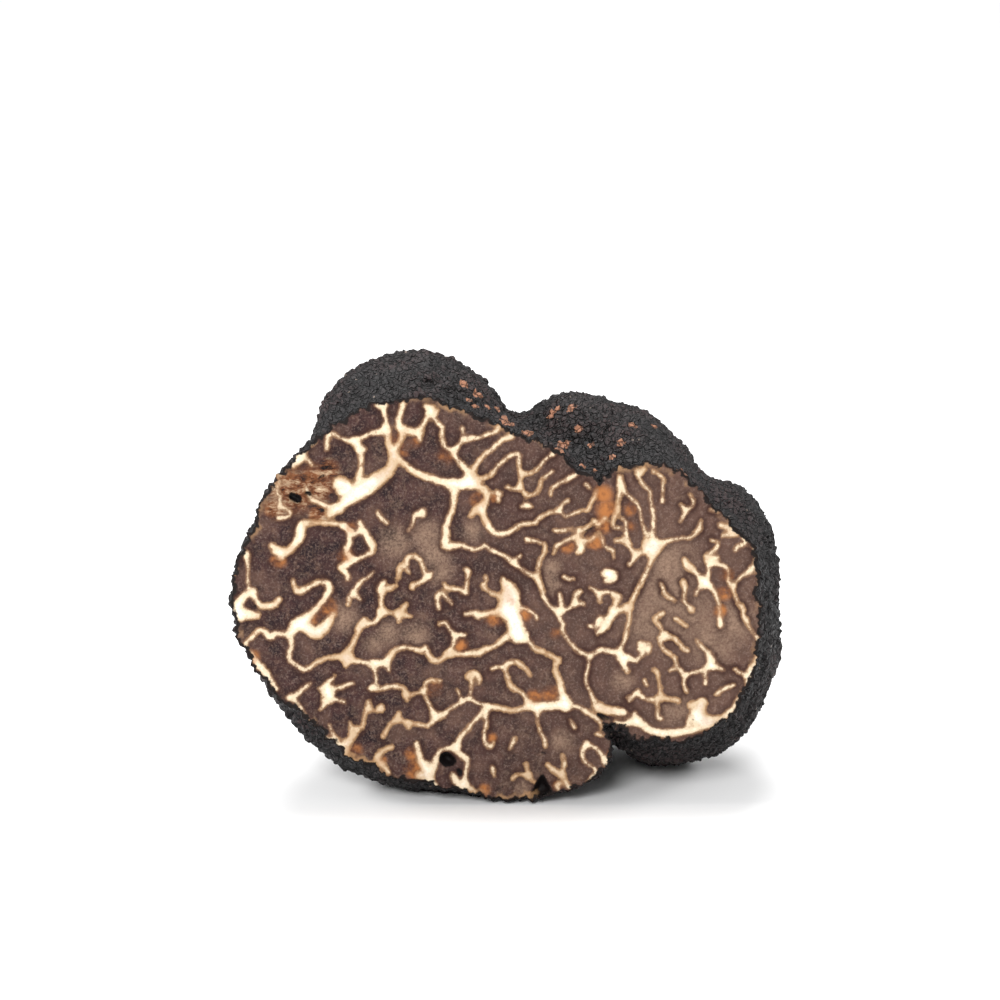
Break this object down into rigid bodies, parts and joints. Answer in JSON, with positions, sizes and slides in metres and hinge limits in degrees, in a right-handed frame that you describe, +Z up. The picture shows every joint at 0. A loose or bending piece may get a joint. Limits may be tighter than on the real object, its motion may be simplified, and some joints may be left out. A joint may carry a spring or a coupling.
{
  "type": "black truffle",
  "caption": "Cut black truffle: a warty, two-lobed black tuber cut flat at the front, showing dark flesh marbled with branching cream veins.",
  "frame": {"origin": "middle of the bounding box seen from above, on the surface that the truffle stands on", "axes": "+Z up; the cut face looks along -Y and leans back 5 degrees from upright; +X runs along the truffle's long side, from the large lobe to the small one"},
  "size_m": [0.074, 0.043, 0.058],
  "materials": {
    "truffle": "matte"
  },
  "bodies": {
    "root": {"truffle": "truffle"}
  },
  "joints": []
}
